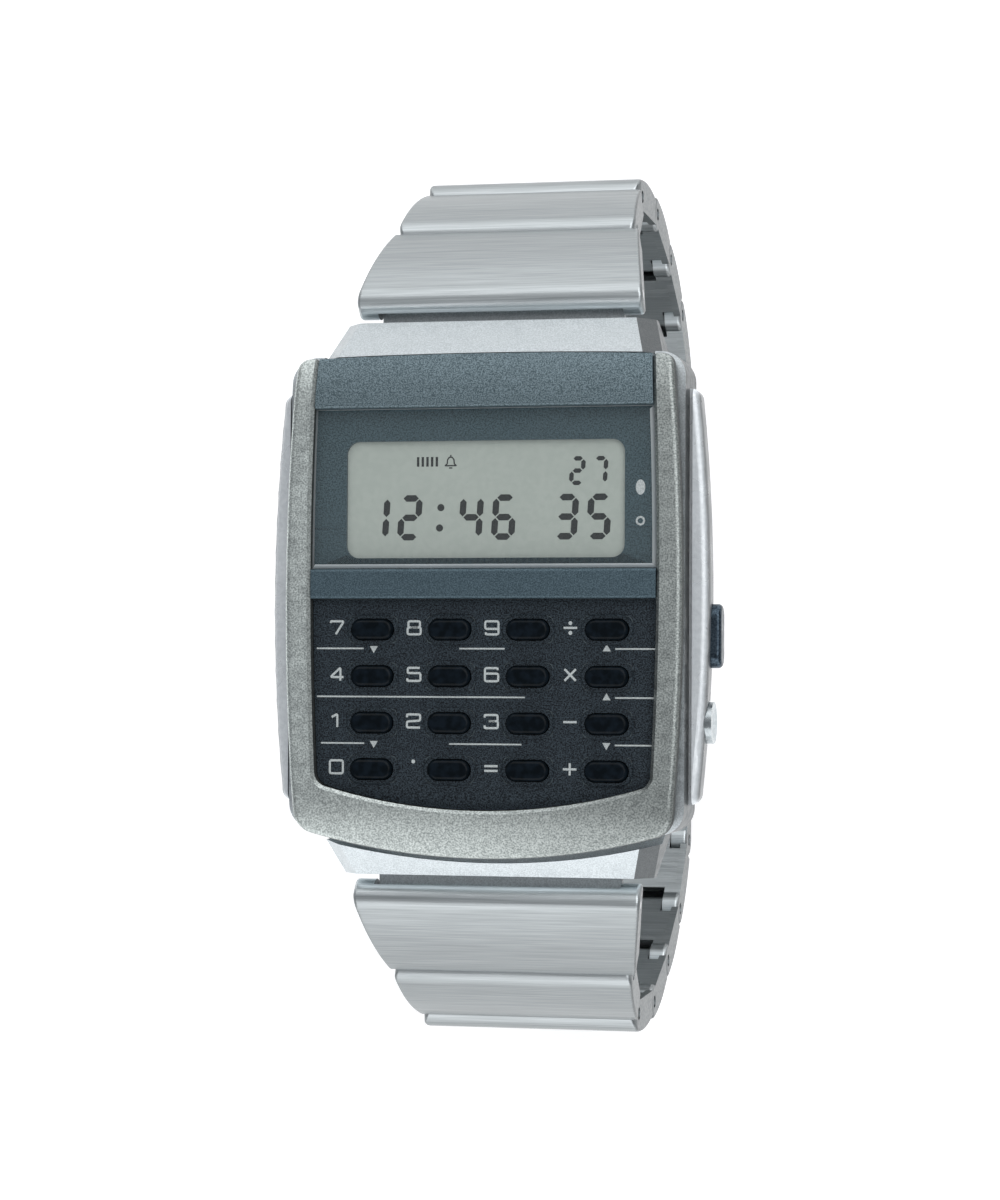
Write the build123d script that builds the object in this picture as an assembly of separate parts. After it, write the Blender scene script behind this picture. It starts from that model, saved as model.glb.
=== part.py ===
from build123d import *
import os
from math import cos, radians, sin

# A digital calculator wristwatch on a folded-link steel bracelet, with its clasp closed.
# +X points to 3 o'clock, +Y to 12 o'clock and +Z out of the dial. The watch stands on its clasp:
# the origin is on the clasp's flat outer face, below the middle of the dial. Sizes are in mm.
# Depths in the head are counted down from the front of the bezel.

# The head, over all
head_length = 43.2          # from hood end to hood end
back_depth = 8.2            # the case back's outer face
seat_gap = 0.05             # round a piece that seats in another
overrun = 0.5               # how far a cutter runs past what it cuts

# Pins and bores
pin_radius = 0.5
running_clearance = 0.05
press_clearance = 0.01

# The bracelet's loop, on the 12 o'clock side. The 6 o'clock side mirrors it
roll_radius = 1.45          # outer radius of a link's rolled edge, round its pin
lug_reach = 1.9             # the spring bar's distance from the hood's end
lug_pin_rise = 1.2          # and from the case back's outer face
lug_pin_y = head_length / 2 + lug_reach
lug_pin_depth = back_depth - lug_pin_rise
first_link_pitch = 8.8      # pin to pin
link_pitch = 7.6
first_tilt = 46             # degrees below the dial's plane
bends = (14, 32, 20, 10, 18, 40)    # degrees between one piece and the next, down to the clasp
strap_half_width = 8.9      # from the third link to the clasp
root_flare, second_flare = 2.6, 0.85    # how much wider the first two links' rolled edges are


def loop():
    """Each pin's Y and depth and the tilt of the piece that follows it, from the spring bar to the clasp."""
    y, depth, tilt = lug_pin_y, lug_pin_depth, first_tilt
    stations = [(y, depth, tilt)]
    for number, bend in enumerate(bends):
        pitch = link_pitch if number else first_link_pitch
        y += pitch * cos(radians(tilt))
        depth += pitch * sin(radians(tilt))
        tilt += bend
        stations.append((y, depth, tilt))
    return stations


stations = loop()
clasp_y, clasp_depth, clasp_tilt = stations[-1]
face_z = clasp_depth + roll_radius      # the bezel's front, above the clasp's outer face
clasp_length = 2 * clasp_y              # from the pin at 6 o'clock to the bar at 12


def at_depth(outline, top, bottom):
    """An outline seen from the front, made a slab between two depths."""
    return Pos(0, 0, face_z - bottom) * extrude(outline, bottom - top)


def along_x(outline, near, far):
    """An outline drawn in Y and Z, extruded from one X to another."""
    return extrude(Plane(origin=(near, 0, 0), x_dir=(0, 1, 0), z_dir=(1, 0, 0)) * outline, far - near)


def across(outline, half_width):
    """An outline drawn in Y and Z, extruded to both sides of the middle."""
    return along_x(outline, -half_width, half_width)


def at_both_sides(outline, near, far):
    """An outline drawn in Y and Z, extruded from near to far at 3 o'clock and the same at 9 o'clock."""
    return along_x(outline, near, far) + along_x(outline, -far, -near)


def box_outline(low_x, high_x, low_y, high_y):
    """A rectangle between two values each way."""
    return Pos((low_x + high_x) / 2, (low_y + high_y) / 2) * Rectangle(high_x - low_x, high_y - low_y)


def in_corners(outline, x, y):
    """Four copies of an outline, at plus and minus x and y."""
    return Sketch() + [Pos(side * x, end * y) * outline for side in (-1, 1) for end in (-1, 1)]


# Outline of the head
side_half_width = 15.5      # the bezel at its widest
side_sag = 0.8              # how far each side draws in towards its ends
hood_run = 3.3              # from the bezel's top corners to the hood's end
top_y = head_length / 2 - hood_run
top_rise = 0.3              # the top edge's arch
bottom_corner_rise, bottom_sag = 0.4, 1.8
bottom_corner_y = top_y - bottom_corner_rise
bottom_y = top_y + bottom_sag           # the lowest point of the bottom arc
bottom_corner_radius = 1.8
top_corner_radius = 1.0


def barrel(inset=0.0):
    """The bezel's barrel outline, drawn in by inset all round."""
    half = side_half_width - inset
    end = half - side_sag
    top, low, bottom = top_y - inset, bottom_corner_y - inset, bottom_y - inset
    outline = make_face(Curve() + [
        ThreePointArc((-end, top), (0, top + top_rise), (end, top)),
        ThreePointArc((end, top), (half, 0), (end, -low)),
        ThreePointArc((end, -low), (0, -bottom), (-end, -low)),
        ThreePointArc((-end, -low), (-half, 0), (-end, top)),
    ])
    outline = fillet(outline.vertices().group_by(Axis.Y)[0], bottom_corner_radius)
    return fillet(outline.vertices().group_by(Axis.Y)[-1], top_corner_radius)


# Bezel: a U-shaped frame that the top strip closes at 12 o'clock
rebate_depth, rebate = 0.8, 0.25        # below this its outer side steps in
low_fall, high_fall = 3.7, 3.9          # from where its front starts to fall away to the corners
bezel_low_y, bezel_high_y = low_fall - top_y, top_y - high_fall
bezel_low_drop = 1.7        # the front's fall by the 6 o'clock edge
bezel_high_drop = 0.9
bezel_edge_radius = 0.45
bezel_rim = 2.0             # the bezel's width at 3 and 9 o'clock
bezel_lip_chamfer = 0.25    # round the opening
opening_half_width = side_half_width - bezel_rim     # the face's opening at its widest
opening_sag = 0.45
opening_low_y = top_y - high_fall       # the opening's lower corners
opening_low_sag = 2.0
opening_bottom_y = opening_low_y + opening_low_sag      # its lower arc's lowest point
opening_corner_radius = 1.2


def opening(inset=0.0):
    """The opening in the bezel, drawn in by inset. It runs out past the top edge."""
    half = opening_half_width - inset
    end = half - opening_sag
    top, low, bottom = top_y + top_rise + overrun, opening_low_y - inset, opening_bottom_y - inset
    outline = make_face(Curve() + [
        Line((-end, top), (end, top)),
        ThreePointArc((end, top), (half, 0), (end, -low)),
        ThreePointArc((end, -low), (0, -bottom), (-end, -low)),
        ThreePointArc((-end, -low), (-half, 0), (-end, top)),
    ])
    return fillet(outline.vertices().group_by(Axis.Y)[0], opening_corner_radius)


def band(outline, low, high):
    """The part of an outline that lies between two values of Y."""
    return outline & box_outline(-2 * side_half_width, 2 * side_half_width, low, high)


def front_view(below=0.0):
    """The head's side view: flat along the middle of its front, falling away to both ends."""
    z, back = face_z - below, face_z - back_depth
    high, low = top_y + top_rise + overrun, -bottom_y - overrun
    return make_face(Curve() + [
        Line((bezel_low_y, z), (bezel_high_y, z)),
        TangentArc((bezel_high_y, z), (high, z - bezel_high_drop), tangent=(1, 0)),
        Line((high, z - bezel_high_drop), (high, back)),
        Line((high, back), (low, back)),
        Line((low, back), (low, z - bezel_low_drop)),
        TangentArc((bezel_low_y, z), (low, z - bezel_low_drop), tangent=(-1, 0)),
    ])


def sunk(outline, top, bottom):
    """A slab between two depths that falls away with the head's front at both its faces."""
    block = at_depth(outline, 0, case_bottom) & across(front_view(top), 2 * side_half_width)
    return block - across(front_view(bottom), 2 * side_half_width)


def bezel():
    block = at_depth(barrel(), 0, case_bottom) & across(front_view(), side_half_width)
    rim = block.edges().filter_by(lambda e: e.center().Z > face_z - bezel_low_drop - bezel_edge_radius)
    rim = rim.filter_by(lambda e: abs(e.center().X) > opening_half_width or e.center().Y < -opening_bottom_y)
    block = fillet(rim, bezel_edge_radius) - across(front_view(deck_top), 2 * side_half_width)
    ring = block - at_depth(opening(), -overrun, case_bottom)
    lip = ring.edges().filter_by(
        lambda e: e.center().Z > face_z - bezel_lip_chamfer and e.geom_type != GeomType.LINE
        and abs(e.center().X) < opening_half_width + seat_gap and e.center().Y > -opening_bottom_y - seat_gap
    )
    return chamfer(lip, bezel_lip_chamfer) \
        - sunk(barrel(-overrun) - barrel(rebate), rebate_depth, deck_top + overrun)


# Face pieces, which all lie on the mid-case's deck
deck_top, deck_bottom = 1.5, 2.1
strip_depth = 0.12          # the two dark strips stand almost level with the bezel
strip_edge_radius = 0.25
top_strip_low = bezel_high_y
divider_low, divider_high = -0.25, 2.05
crystal_low, crystal_high = divider_high + seat_gap, top_strip_low - seat_gap
crystal_depth, crystal_chamfer = 0.35, 0.3
mask_depth, mask_window_radius = 1.15, 1.0
window_side_margin, window_low_margin, window_high_margin = 2.6, 0.8, 2.45
window_half_width = opening_half_width - window_side_margin
window_low, window_high = crystal_low + window_low_margin, crystal_high - window_high_margin


def face_piece(low, high, top, bottom, fit=seat_gap):
    """A slab between two values of Y that fills the bezel's opening."""
    return sunk(band(opening(fit) & barrel(fit), low, high), top, bottom)


def front_edges(piece, depth):
    """The edges of a piece that lie level with a depth."""
    return piece.edges().filter_by(lambda e: abs(e.center().Z - face_z + depth) < seat_gap)


def top_strip():
    strip = face_piece(top_strip_low, top_y + top_rise, strip_depth, deck_top)
    return fillet(strip.edges().filter_by(Axis.X).group_by(Axis.Z)[-1], strip_edge_radius)


def divider_strip():
    strip = face_piece(divider_low, divider_high, strip_depth, deck_top)
    return fillet(strip.edges().filter_by(Axis.X).group_by(Axis.Z)[-1], strip_edge_radius)


def crystal():
    glass = face_piece(crystal_low, crystal_high, crystal_depth, mask_depth)
    return chamfer(front_edges(glass, crystal_depth), crystal_chamfer)


def window_outline(margin=0.0):
    middle = Pos(0, (window_low + window_high) / 2)
    return middle * RectangleRounded(
        2 * (window_half_width + margin), window_high - window_low + 2 * margin, mask_window_radius)


def display_mask():
    return face_piece(crystal_low, crystal_high, mask_depth, deck_top) \
        - at_depth(window_outline(), 0, deck_bottom)


# Keypad
key_rows, key_columns = 4, 4
key_pitch_share, first_key_share = 0.452, -0.641     # of the opening's half width
key_pitch_x, key_pitch_y = opening_half_width * key_pitch_share, 3.57
first_key_x, first_key_y = opening_half_width * first_key_share, -2.6
key_length, key_width = 3.3, 1.55
key_top_depth, key_edge_radius = 0.35, 0.3
key_clearance = 0.07
key_flange = 0.35           # how far the key's foot reaches under the plate
key_flange_thickness = 0.3
key_travel = 0.35
plate_top = 0.95
collar_width, collar_height, collar_chamfer = 0.4, 0.2, 0.12
actuator_radius, actuator_gap = 0.6, 0.05
board_top, board_bottom = 3.3, 3.9
mat_top = 2.5
bay_side_margin, bay_corner_radius = 1.6, 1.5
bay_half_width = opening_half_width - bay_side_margin
bay_high, bay_low = -0.75, bezel_low_y
key_names = (
    "7", "8", "9", "divide", "4", "5", "6", "times", "1", "2", "3", "minus", "0", "point", "equals", "plus",
)


def key_places():
    """Each key's name and its place on the keypad, row by row."""
    spots = [
        (first_key_x + column * key_pitch_x, first_key_y - row * key_pitch_y)
        for row in range(key_rows) for column in range(key_columns)
    ]
    return list(zip(key_names, spots))


def at_keys(outline):
    return Sketch() + [Pos(*spot) * outline for name, spot in key_places()]


def keypad_plate():
    plate = face_piece(-opening_bottom_y, divider_low - seat_gap, plate_top, deck_top)
    collar = SlotOverall(key_length + 2 * collar_width, key_width + 2 * collar_width)
    plate += at_depth(at_keys(collar), plate_top - collar_height, plate_top)
    plate = chamfer(front_edges(plate, plate_top - collar_height), collar_chamfer)
    hole = SlotOverall(key_length + 2 * key_clearance, key_width + 2 * key_clearance)
    return plate - at_depth(at_keys(hole), -overrun, deck_top + overrun)


def key(x, y):
    """A key cap with its foot under the plate and the rubber actuator that it presses on the board."""
    outline = SlotOverall(key_length, key_width)
    foot_top = deck_top + seat_gap
    cap = at_depth(outline, key_top_depth, foot_top)
    cap = fillet(front_edges(cap, key_top_depth), key_edge_radius)
    foot = SlotOverall(key_length + 2 * key_flange, key_width + 2 * key_flange)
    cap += at_depth(foot, foot_top, foot_top + key_flange_thickness)
    cap += at_depth(Circle(actuator_radius), foot_top, board_top - key_travel - actuator_gap)
    return Pos(x, y) * cap


def bay(inset=0.0):
    """The hole in the deck under the keypad, drawn in by inset."""
    middle = Pos(0, (bay_low + bay_high) / 2)
    return middle * RectangleRounded(
        2 * (bay_half_width - inset), bay_high - bay_low - 2 * inset, bay_corner_radius - inset)


def keypad_mat():
    """The rubber sheet between plate and board, with a well for each key's actuator."""
    wells = at_keys(Circle(actuator_radius + key_flange))
    return at_depth(bay(seat_gap), mat_top, board_top) - at_depth(wells, 0, board_bottom) - stem_rooms()


# Display cell and its connectors
cell_margin, cell_high_margin = 1.1, 1.0         # beyond the window
cell_half_width = window_half_width + cell_margin
cell_low_margin = 0.7
cell_low, cell_high = window_low - cell_low_margin, window_high + cell_high_margin
glass_thickness = 0.5
ledge = 1.1                 # the front glass overhangs the rear glass by this at both long edges
reflector_thickness = 0.2
connector_width, connector_margin = 0.7, 0.2
connector_end_margin = 1.5
connector_half_length = cell_half_width - connector_end_margin
cell_gap = 0.1


def lcd_cell():
    """Two glass plates: the front one carries the contacts on its overhangs."""
    front = box_outline(-cell_half_width, cell_half_width, cell_low, cell_high)
    rear = box_outline(-cell_half_width, cell_half_width, cell_low + ledge, cell_high - ledge)
    middle = deck_top + glass_thickness
    return at_depth(front, deck_top, middle) + at_depth(rear, middle, middle + glass_thickness)


def lcd_reflector():
    top = deck_top + 2 * glass_thickness
    rear = box_outline(-cell_half_width, cell_half_width, cell_low + ledge, cell_high - ledge)
    return at_depth(rear, top, top + reflector_thickness)


def lcd_connectors():
    """Two striped rubber bars that carry the board's signals to the front glass."""
    low = cell_low + connector_margin
    high = cell_high - connector_margin - connector_width
    bars = Sketch() + [
        box_outline(-connector_half_length, connector_half_length, y, y + connector_width)
        for y in (low, high)
    ]
    return at_depth(bars, deck_top + glass_thickness, board_top)


# Mid-case, with a hood at each end that carries the bracelet
flank_half_width = side_half_width - seat_gap   # its straight sides, flush with the bezel's middle
case_low_margin, case_corner_radius = 0.2, 2.0
case_high, case_low = top_y + top_rise, case_low_margin - top_y
case_inset = 0.45           # between the hoods' sides it stands in from the bezel
back_thickness = 0.55
case_bottom = back_depth - back_thickness
flank_lean_height, flank_lean = 0.75, 0.4       # the flank leans in by its lower edge
flank_depth = case_bottom - flank_lean_height
side_wall, end_wall, cavity_corner_radius = 3.1, 3.6, 1.5
cavity_half_width, cavity_half_length = side_half_width - side_wall, top_y - end_wall
hood_overlap, hood_taper = 0.8, 1.1     # beyond the first link at its outer end, and more at its root
hood_half_width = strap_half_width + root_flare + hood_overlap
hood_root_half_width = hood_half_width + hood_taper
hood_end_rise, hood_bottom_rise = 1.8, 0.25     # above the spring bar and the back's outer face
hood_root_depth = 2.0
hood_end_depth, hood_bottom = lug_pin_depth - hood_end_rise, back_depth - hood_bottom_rise
hood_end_chamfer = 1.25
high_groove, low_groove = 0.2, 0.45     # between the bezel's edge and each hood
first_ear_width = 1.8
lug_half_width = strap_half_width + root_flare - first_ear_width    # the case's knuckle, between the ears
knuckle_radius = 0.95
neck_thickness = 0.6


def knuckle_neck(start, stop):
    """The side view of a knuckle's neck along Y, low enough to pass under the next link's rolled edge."""
    return box_outline(start, stop, -knuckle_radius, neck_thickness - knuckle_radius)


def hood():
    """The sloping 12 o'clock hood with its knuckle for the spring bar."""
    end_y = head_length / 2
    root_y = cavity_half_length + cavity_corner_radius
    side = make_face(Polyline(
        (root_y, face_z - hood_root_depth), (top_y, face_z - hood_root_depth),
        (end_y, face_z - hood_end_depth), (end_y, face_z - hood_bottom), (root_y, face_z - hood_bottom),
        close=True,
    ))
    half, root_half = hood_half_width, hood_root_half_width
    plan = make_face(Polyline(
        (-root_half, root_y), (root_half, root_y), (root_half, top_y), (half, end_y), (-half, end_y),
        (-root_half, top_y), close=True,
    ))
    block = across(side, root_half) & at_depth(plan, 0, back_depth)
    corners = block.edges().filter_by(
        lambda e: abs(e.center().X) > lug_half_width and e.center().Y > top_y
        and hood_root_depth < face_z - e.center().Z < hood_end_depth
    )
    block = chamfer(corners, hood_end_chamfer)
    place = Pos(lug_pin_y, face_z - lug_pin_depth)
    knuckle = Circle(knuckle_radius) + knuckle_neck(end_y - lug_pin_y - overrun, 0)
    knuckle -= Circle(pin_radius + running_clearance)
    return block + across(place * knuckle, lug_half_width)


# Case back, its screws and gasket
back_side_overlap, back_end_overlap, back_corner_radius = 1.2, 3.0, 2.0
back_half_width = cavity_half_width + back_side_overlap
back_half_length = cavity_half_length + back_end_overlap
back_edge_chamfer = 0.2
screw_side_margin, screw_end_margin = 3.0, 1.1
screw_x, screw_y = back_half_width - screw_side_margin, back_half_length - screw_end_margin
screw_radius, screw_length = 0.5, 2.2
screw_head_radius, screw_head_height = 0.9, 0.3
slot_width, slot_depth = 0.25, 0.15
gasket_margin, gasket_section = 0.65, 0.5
gasket_half_width, gasket_half_length = cavity_half_width + gasket_margin, cavity_half_length + gasket_margin


def gasket_ring(margin=0.0):
    half = gasket_section / 2 + margin
    outer = RectangleRounded(
        2 * (gasket_half_width + half), 2 * (gasket_half_length + half), cavity_corner_radius)
    return outer - RectangleRounded(
        2 * (gasket_half_width - half), 2 * (gasket_half_length - half), cavity_corner_radius - half)


def back_gasket():
    return at_depth(gasket_ring(), case_bottom - gasket_section, case_bottom)


def case_back():
    plate = at_depth(
        RectangleRounded(2 * back_half_width, 2 * back_half_length, back_corner_radius),
        case_bottom, back_depth)
    plate = chamfer(plate.edges().group_by(Axis.Z)[0], back_edge_chamfer)
    plate -= at_depth(in_corners(Circle(screw_head_radius + seat_gap), screw_x, screw_y),
                      back_depth - screw_head_height, back_depth + overrun)
    return plate - at_depth(in_corners(Circle(screw_radius + seat_gap), screw_x, screw_y), 0, back_depth)


def case_back_screws():
    shanks = in_corners(Circle(screw_radius), screw_x, screw_y)
    heads = in_corners(Circle(screw_head_radius), screw_x, screw_y)
    slots = in_corners(Rectangle(2 * screw_head_radius, slot_width), screw_x, screw_y)
    head_top = back_depth - screw_head_height
    return at_depth(shanks, case_bottom - screw_length, head_top) + at_depth(heads, head_top, back_depth) \
        - at_depth(slots, back_depth - slot_depth, back_depth + overrun)


# Polished rails along both sides
rail_top, rail_bottom = 2.5, 5.1
rail_stand, rail_bow = 1.7, 0.85        # beyond the bezel, and how far the outer side draws in to its ends
rail_half_width = side_half_width + rail_stand
rail_end_margin = 2.45      # from its ends to the bezel's top corners
rail_end_half_width, rail_half_length = rail_half_width - rail_bow, top_y - rail_end_margin
rail_corner_radius, rail_edge_radius = 0.9, 0.65
rail_groove, rail_groove_depth = 0.4, 1.1       # between the rail's upper half and the flank


def case_outline(margin=0.0):
    """The mid-case's rounded rectangle, with margin all round."""
    middle = Pos(0, (case_high + case_low) / 2)
    return middle * RectangleRounded(
        2 * (flank_half_width + margin), case_high - case_low + 2 * margin, case_corner_radius + margin)


def side_rail():
    """The 3 o'clock rail: a bowed bar whose lower half lies against the case."""
    inner = flank_half_width - overrun
    bow = make_face(Curve() + [
        Line((inner, -rail_half_length), (rail_end_half_width, -rail_half_length)),
        ThreePointArc((rail_end_half_width, -rail_half_length), (rail_half_width, 0),
                      (rail_end_half_width, rail_half_length)),
        Line((rail_end_half_width, rail_half_length), (inner, rail_half_length)),
        Line((inner, rail_half_length), (inner, -rail_half_length)),
    ])
    bow = fillet(bow.vertices().group_by(Axis.X)[-1], rail_corner_radius)
    bar = at_depth(bow, rail_top, rail_bottom)
    outer = bar.edges().filter_by(lambda e: e.center().X > rail_half_width - seat_gap)
    bar = fillet(outer, rail_edge_radius)
    bar -= at_depth(case_outline(rail_groove), 0, rail_top + rail_groove_depth)
    return bar - at_depth(case_outline(press_clearance), 0, back_depth)


# Pushers at 3 o'clock
pusher_depth = 4.4
mode_proud, adjust_proud = 0.75, 0.1    # beyond the rail's middle
mode_y, mode_length, mode_height, mode_face_x = -3.0, 4.9, 2.0, rail_half_width + mode_proud
adjust_y, adjust_radius, adjust_face_x = -9.6, 1.6, rail_half_width + adjust_proud
dish_radius, dish_depth = 4.0, 0.25
pusher_travel = 0.5
pusher_sunk = 0.9           # the inner face of a pusher's head, inside the rail's outer side
pusher_seat_x = rail_half_width - pusher_sunk
pusher_clearance = 0.08
pusher_edge_radius = 0.35
stem_radius, stem_reach = 0.6, 0.65     # how far it reaches into the cavity
stem_end_x = cavity_half_width - stem_reach
clip_radius, clip_thickness = 1.15, 0.25
seal_sunk, seal_section = 1.7, 0.4
seal_x = cavity_half_width + seal_sunk
stem_room_half_width, stem_room_length = 1.4, 1.4
stem_room_x = cavity_half_width - stem_room_length


def at_pusher(outline, near, far, y):
    """An outline centred on a pusher, extruded between two values of X."""
    return Pos(0, y, face_z - pusher_depth) * along_x(outline, near, far)


def pusher_cuts():
    """What the pushers need of the case and the rail: head pockets, bores and seal grooves."""
    floor_x, reach = pusher_seat_x - pusher_travel - pusher_clearance, mode_face_x + overrun
    cuts = at_pusher(
        SlotOverall(mode_length + 2 * pusher_clearance, mode_height + 2 * pusher_clearance),
        floor_x, reach, mode_y)
    cuts += at_pusher(Circle(adjust_radius + pusher_clearance), floor_x, reach, adjust_y)
    for y in (mode_y, adjust_y):
        cuts += at_pusher(Circle(stem_radius + running_clearance), cavity_half_width - overrun, reach, y)
        cuts += at_pusher(
            Circle(stem_radius + running_clearance + seal_section), seal_x - seal_section / 2,
            seal_x + seal_section / 2, y)
    return cuts


def pusher_stem(y):
    """The stem of a pusher, with the clip that keeps it in the case."""
    clip_x = cavity_half_width - seat_gap - clip_thickness
    return at_pusher(Circle(stem_radius), stem_end_x, pusher_seat_x, y) \
        + at_pusher(Circle(clip_radius), clip_x, clip_x + clip_thickness, y)


def outer_edges(piece):
    return piece.edges().group_by(Axis.X)[-1]


def mode_pusher():
    head = at_pusher(SlotOverall(mode_length, mode_height), pusher_seat_x, mode_face_x, mode_y)
    return fillet(outer_edges(head), pusher_edge_radius) + pusher_stem(mode_y)


def adjust_pusher():
    """A round pusher with a dished face."""
    head = at_pusher(Circle(adjust_radius), pusher_seat_x, adjust_face_x, adjust_y)
    dish_x = adjust_face_x + dish_radius - dish_depth
    head -= Pos(dish_x, adjust_y, face_z - pusher_depth) * Sphere(dish_radius)
    return head + pusher_stem(adjust_y)


def pusher_seals():
    ring = Circle(stem_radius + running_clearance + seal_section) - Circle(stem_radius + running_clearance)
    near, far = seal_x - seal_section / 2, seal_x + seal_section / 2
    return at_pusher(ring, near, far, mode_y) + at_pusher(ring, near, far, adjust_y)


def case_body():
    """The mid-case. Between the hoods' sides its ends stand in under the bezel, behind a groove."""
    middle = hood_root_half_width - rail_groove
    body = at_depth(case_outline(), 0, case_bottom)
    under = body.faces().sort_by(Axis.Z)[0]
    body = chamfer(under.edges(), flank_lean, case_bottom - flank_depth, reference=under)
    between_sides = box_outline(-middle, middle, -head_length, head_length)
    body -= at_depth(between_sides - barrel(case_inset), 0, back_depth)
    body += at_depth(band(barrel(case_inset) & between_sides, -head_length, 0), 0, case_bottom)
    body = body & across(front_view(deck_top), 2 * side_half_width)
    hoods = hood() + mirror(hood(), Plane.XZ)
    bezel_room = band(barrel(-high_groove), 0, head_length) + band(barrel(-low_groove), -head_length, 0)
    body += hoods - at_depth(bezel_room, 0, hood_end_depth)
    body -= at_depth(
        RectangleRounded(2 * cavity_half_width, 2 * cavity_half_length, cavity_corner_radius),
        deck_bottom, case_bottom + overrun)
    cell = box_outline(
        -cell_half_width - cell_gap, cell_half_width + cell_gap, cell_low - cell_gap, cell_high + cell_gap)
    body -= at_depth(cell, 0, deck_bottom + overrun)
    body -= at_depth(bay(), 0, deck_bottom + overrun)
    body -= at_depth(gasket_ring(seat_gap), case_bottom - gasket_section, case_bottom + overrun)
    body -= at_depth(in_corners(Circle(screw_radius + press_clearance), screw_x, screw_y),
                     case_bottom - screw_length, case_bottom + overrun)
    seat = RectangleRounded(
        2 * (back_half_width + seat_gap), 2 * (back_half_length + seat_gap), back_corner_radius)
    body -= at_depth(seat, case_bottom, back_depth + overrun)
    return body - pusher_cuts()


# Module
module_gap, module_corner_radius = 0.2, 1.3
module_half_width, module_half_length = cavity_half_width - module_gap, cavity_half_length - module_gap
frame_gap, battery_sunk = 0.35, 0.15
frame_bottom = case_bottom - frame_gap
battery_y, battery_radius, battery_thickness, battery_bottom = -5.2, 8.0, 1.6, frame_bottom - battery_sunk
battery_cap_radius, battery_step = 7.1, 0.3
battery_gap = 0.15
chip_y, chip_side, chip_thickness = 9.0, 6.0, 1.0
quartz_x, quartz_radius, quartz_length = 8.0, 1.0, 6.0
pocket_margin = 1.0
clip_arm_width, clip_sheet = 3.0, 0.15
buzzer_y, buzzer_radius, buzzer_thickness = 7.0, 6.5, 0.25


def stem_rooms():
    """Notches at 3 o'clock that leave the pushers' stems room to travel."""
    rooms = Sketch() + [
        box_outline(
            stem_room_x, module_half_width + overrun, y - stem_room_half_width, y + stem_room_half_width)
        for y in (mode_y, adjust_y)
    ]
    return at_depth(rooms, 0, frame_bottom + overrun)


def module_outline():
    return RectangleRounded(2 * module_half_width, 2 * module_half_length, module_corner_radius)


def circuit_board():
    return at_depth(module_outline(), board_top, board_bottom) - stem_rooms()


def parts_pocket():
    half = quartz_x + quartz_radius + pocket_margin
    low, high = chip_y - chip_side / 2 - pocket_margin, chip_y + chip_side / 2 + pocket_margin
    return box_outline(-half, half, low, high)


def module_frame():
    """The plastic block behind the board: a well for the cell and a pocket for the chip and quartz."""
    block = at_depth(module_outline(), board_bottom, frame_bottom) - stem_rooms()
    block -= at_depth(Pos(0, battery_y) * Circle(battery_radius + battery_gap),
                      battery_bottom - battery_thickness, frame_bottom + overrun)
    depth = board_bottom + 2 * quartz_radius + battery_gap
    return block - at_depth(parts_pocket(), board_bottom - overrun, depth)


def chip():
    square = Pos(0, chip_y) * Rectangle(chip_side, chip_side)
    return at_depth(square, board_bottom, board_bottom + chip_thickness)


def quartz_can():
    can = extrude(Plane(origin=(quartz_x, chip_y - quartz_length / 2, face_z - board_bottom - quartz_radius),
                        x_dir=(1, 0, 0), z_dir=(0, 1, 0)) * Circle(quartz_radius), quartz_length)
    return can


def battery():
    """A button cell, its smaller pole towards the board."""
    top = battery_bottom - battery_thickness
    cell = at_depth(Circle(battery_cap_radius), top, top + battery_step)
    cell += at_depth(Circle(battery_radius), top + battery_step, battery_bottom)
    return Pos(0, battery_y) * cell


def battery_clip():
    """The sheet spring across the cell's back."""
    strap = Rectangle(2 * (battery_radius + pocket_margin), clip_arm_width)
    return at_depth(Pos(0, battery_y) * strap, frame_bottom, frame_bottom + clip_sheet) \
        + at_depth(Pos(0, battery_y) * Circle(clip_arm_width), battery_bottom, frame_bottom)


def buzzer_disc():
    return at_depth(Pos(0, buzzer_y) * Circle(buzzer_radius), case_bottom - buzzer_thickness, case_bottom)


# Bracelet links, folded from sheet
sheet = 0.45                # the cap
flange = 0.6                # the folded sides
link_underside = 1.1        # below the pins' plane
cap_rise = 11               # degrees by which the arched cap rises from the rolled edge
far_height = 0.7            # where the cap's curve would cross the far pin, over the pins' plane
near_corner_radii = (0.7, 1.1)          # in plan, on the first link and on the others
swing_gap = 0.2             # between one link's end and the next one's rolled edge
ear_width = 1.5
ear_gap = 0.1
roll_end = -0.1             # the rolled edge's height beside the neck that passes under it
throat = 1.6                # the length of the hollow round the pin
link_edge_radius = 0.3
far_margin = 0.1            # a link's far end is this much wider than the next link's rolled edge


def joint_half_width(station):
    """The bracelet's half width at a pin, counted from the spring bar."""
    return strap_half_width + ((root_flare, second_flare)[station] if station < 2 else 0)


def knuckle_half_width(station):
    """Half the width of the knuckle on a pin."""
    return joint_half_width(station) - ear_width if station else lug_half_width


def near_end():
    """The side view of a link's hollow round its near pin, open below for the neck that enters there."""
    hollow = Circle(roll_radius - sheet + seat_gap)
    hollow += box_outline(-roll_radius - overrun, throat, -roll_radius - overrun, roll_end)
    return hollow + box_outline(0, throat, roll_end, roll_radius - sheet)


def cap_side(length):
    """The side view of a link between its pins, under its arched cap."""
    start = (-roll_radius * sin(radians(cap_rise)), roll_radius * cos(radians(cap_rise)))
    finish = (length, far_height)
    return make_face(Curve() + [
        TangentArc(start, finish, tangent=(cos(radians(cap_rise)), sin(radians(cap_rise)))),
        Line(finish, (length, -link_underside)),
        Line((length, -link_underside), (0, -link_underside)),
        Line((0, -link_underside), start),
    ])


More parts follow.
